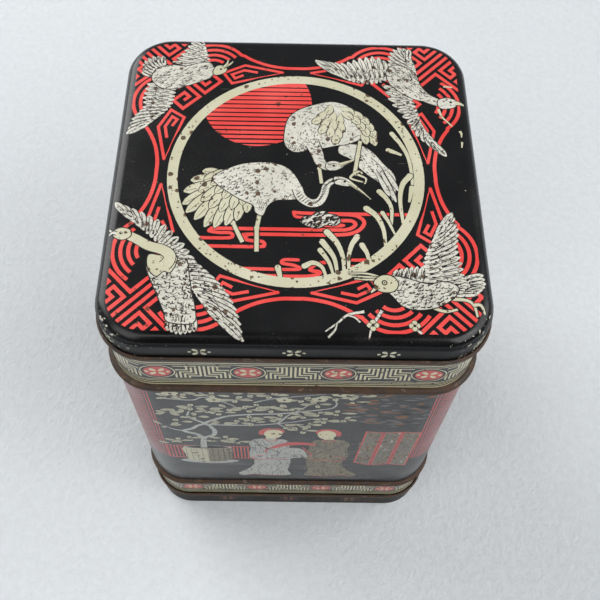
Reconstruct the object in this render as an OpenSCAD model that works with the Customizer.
// Square lithographed tin with a slip-on lid: three pressings of thin tinplate.
// Frame: +Z up, origin at the centre of the underside, front face towards -Y. Millimetres.

/* [Show] */
// Which piece to draw

/* [Overall] */
// Width and depth over the lid's skirt
tin_w = 110; // [80:1:160]
// Height of the closed tin
tin_h = 167; // [100:1:220]
// Radius of the upright corners, over the lid's skirt
corner_r = 14.3; // [8:0.1:24]
// Thickness of the tinplate
sheet_t = 0.3; // [0.2:0.05:0.6]

/* [Lid] */
// Height of the lid, top face to the bottom of its rolled hem
lid_h = 11.4; // [8:0.1:20]
// Radius of the shoulder between the lid's top and its skirt
lid_shoulder_r = 4; // [2:0.1:6]
// Gap between the lid's skirt and the neck, each side
lid_gap = 0.3; // [0.2:0.05:0.6]
// Play left where the shoulder of the closed lid comes down on the neck
seat_gap = 0.05; // [0.02:0.01:0.2]

/* [Rolled hems] */
// Width of a rolled hem, across the sheet
hem_w = 1.2; // [1:0.1:2]
// Height of a rolled hem
hem_h = 2; // [1.6:0.1:3.2]
// Gap left between the rolled edge and the wall
hem_slot = 0.4; // [0.2:0.05:0.6]

/* [Body wrap] */
// Step in from the body's wall to the neck and the upper band
neck_step = 0.5; // [0.3:0.05:1]
// Height of the plain band between the lid and the upper bead
upper_band_h = 20.3; // [12:0.1:30]
// Height of the plain band between the base pan and the lower bead
lower_band_h = 15.8; // [10:0.1:26]
// How far the two beads stand out from the wall
bead_out = 1.3; // [0.8:0.1:2]
// Depth of the edge folded in at the body's top
fold_h = 3; // [2:0.1:5]
// Thickness of that folded edge
fold_t = 0.7; // [0.6:0.05:1]
// Width of the folded lock seam up the back
seam_w = 5; // [3:0.5:8]
// How far the lock seam stands in from the wall
seam_in = 0.6; // [0.4:0.1:1]

/* [Base pan] */
// Height of the base pan, underside to the top of its rolled hem
pan_h = 15.4; // [8:0.1:24]
// Radius of the edge between the pan's bottom and its skirt
pan_edge_r = 1.5; // [1:0.1:3]
// Width of the flat ring the tin stands on
foot_w = 7; // [4:0.5:12]
// How far the centre of the bottom is pressed up
press_up = 0.8; // [0.5:0.1:1.5]

/* [Hidden] */
$fn = 64;
eps = 0.01;
half_w = tin_w / 2;
// Distance from the tin's middle to the centres of its corner arcs
arc_c = half_w - corner_r;
// Distances outwards from an arc centre
lid_out = corner_r;
lid_in = lid_out - sheet_t;
neck_out = lid_in - lid_gap;
wall_out = neck_out + neck_step;
pan_out = wall_out + sheet_t;
// Heights
lid_z0 = tin_h - lid_h;
// The neck ends where its outer edge would meet the inside of the lid's shoulder
inner_shoulder_r = lid_shoulder_r - sheet_t;
seat_rise = sqrt(pow(inner_shoulder_r, 2) - pow(inner_shoulder_r - lid_gap, 2));
wrap_z1 = tin_h - lid_shoulder_r + seat_rise - seat_gap;
wrap_z0 = pan_edge_r;
bead_r = bead_out;
// The bead's roll turns back in behind the wall, but never so far that it closes its own hollow
bead_mouth = 0.8;
bead_in = min(neck_step + sheet_t, bead_mouth * (bead_r - sheet_t));
upper_bead_z = lid_z0 - upper_band_h - bead_r;
lower_bead_z = pan_h + lower_band_h + bead_r;

// A profile (x outwards from the corner centre, y up) carried round the square with rounded corners
module round_sweep() {
    for (a = [0, 90, 180, 270]) rotate([0, 0, a]) {
        translate([arc_c, arc_c, 0]) rotate_extrude(angle = 90) children();
        translate([arc_c, arc_c, 0]) rotate([90, 0, 0]) linear_extrude(2 * arc_c) children();
    }
}

// A flat plate that closes the middle of a swept profile
module middle_plate(z) {
    translate([-arc_c, -arc_c, z]) cube([2 * arc_c, 2 * arc_c, sheet_t]);
}

// Upright oval of a rolled hem
module hem_oval(w, h) {
    translate([0, h / 2 - w / 2]) circle(d = w);
    translate([0, w / 2 - h / 2]) circle(d = w);
    translate([-w / 2, w / 2 - h / 2]) square([w, h - w]);
}

// Rolled hem: its back is in line with the wall's inner face x_in, and its roll is left open at the slot
module rolled_hem(x_in, z_mid, slot_up) {
    translate([x_in + hem_w / 2, z_mid]) difference() {
        hem_oval(hem_w, hem_h);
        hem_oval(hem_w - 2 * sheet_t, hem_h - 2 * sheet_t);
        translate([sheet_t - hem_w / 2, slot_up > 0 ? 0 : -hem_h]) square([hem_slot, hem_h]);
    }
}

// Bead: rolled outwards in the wall, its hollow open towards the inside of the tin
module bead(z_mid) {
    translate([wall_out, z_mid]) intersection() {
        difference() {
            circle(r = bead_r);
            circle(r = bead_r - sheet_t);
        }
        translate([-bead_in, -bead_r]) square([bead_in + bead_r, 2 * bead_r]);
    }
}

module lid_profile() {
    rolled_hem(lid_in, lid_z0 + hem_h / 2, 1);
    translate([lid_in, lid_z0 + hem_h / 2])
        square([sheet_t, lid_h - hem_h / 2 - lid_shoulder_r]);
    translate([0, tin_h - sheet_t]) square([lid_out - lid_shoulder_r, sheet_t]);
    translate([lid_out - lid_shoulder_r, tin_h - lid_shoulder_r]) intersection() {
        difference() {
            circle(r = lid_shoulder_r);
            circle(r = lid_shoulder_r - sheet_t);
        }
        square(lid_shoulder_r);
    }
}

module wrap_profile() {
    // Neck and upper band, down into the upper bead
    translate([neck_out - sheet_t, upper_bead_z + bead_r - sheet_t])
        square([sheet_t, wrap_z1 - upper_bead_z - bead_r + sheet_t]);
    // Edge folded in at the top
    translate([neck_out - fold_t, wrap_z1 - fold_h]) square([fold_t, fold_h]);
    // Step from the neck out to the bead
    translate([neck_out - sheet_t, upper_bead_z + bead_r - sheet_t])
        square([neck_step + sheet_t, sheet_t]);
    bead(upper_bead_z);
    // Main panel
    translate([wall_out - sheet_t, lower_bead_z + bead_r - sheet_t])
        square([sheet_t, upper_bead_z - lower_bead_z - 2 * bead_r + 2 * sheet_t]);
    bead(lower_bead_z);
    // Lower band and foot
    translate([wall_out - sheet_t, wrap_z0])
        square([sheet_t, lower_bead_z - bead_r + sheet_t - wrap_z0]);
}

module pan_profile() {
    rolled_hem(wall_out, pan_h - hem_h / 2, 0);
    translate([wall_out, pan_edge_r]) square([sheet_t, pan_h - hem_h / 2 - pan_edge_r]);
    translate([pan_out - pan_edge_r, pan_edge_r]) intersection() {
        difference() {
            circle(r = pan_edge_r);
            circle(r = pan_edge_r - sheet_t);
        }
        translate([0, -pan_edge_r]) square(pan_edge_r);
    }
    // Ring the tin stands on
    translate([pan_out - pan_edge_r - foot_w, 0]) square([foot_w, sheet_t]);
    // Step up to the pressed centre
    translate([pan_out - pan_edge_r - foot_w, 0]) square([sheet_t, press_up + sheet_t]);
    translate([0, press_up]) square([pan_out - pan_edge_r - foot_w + sheet_t, sheet_t]);
}

module lid() {
    color("#1d1d1f") union() {
        round_sweep() lid_profile();
        middle_plate(tin_h - sheet_t);
    }
}

module body_wrap() {
    color("#3a3a3e") union() {
        round_sweep() wrap_profile();
        // Folded lock seam up the back, inside the wall
        translate([-seam_w / 2, arc_c + wall_out - sheet_t - seam_in, wrap_z0])
            cube([seam_w, seam_in + eps, lower_bead_z - bead_r - wrap_z0]);
        translate([-seam_w / 2, arc_c + wall_out - sheet_t - seam_in, lower_bead_z + bead_r])
            cube([seam_w, seam_in + eps, upper_bead_z - lower_bead_z - 2 * bead_r]);
        translate([-seam_w / 2, arc_c + neck_out - sheet_t - seam_in, upper_bead_z + bead_r])
            cube([seam_w, seam_in + eps, wrap_z1 - fold_h - upper_bead_z - bead_r]);
    }
}

module base_pan() {
    color("#2a2320") union() {
        round_sweep() pan_profile();
        middle_plate(press_up);
    }
}

lid();
body_wrap();
base_pan();
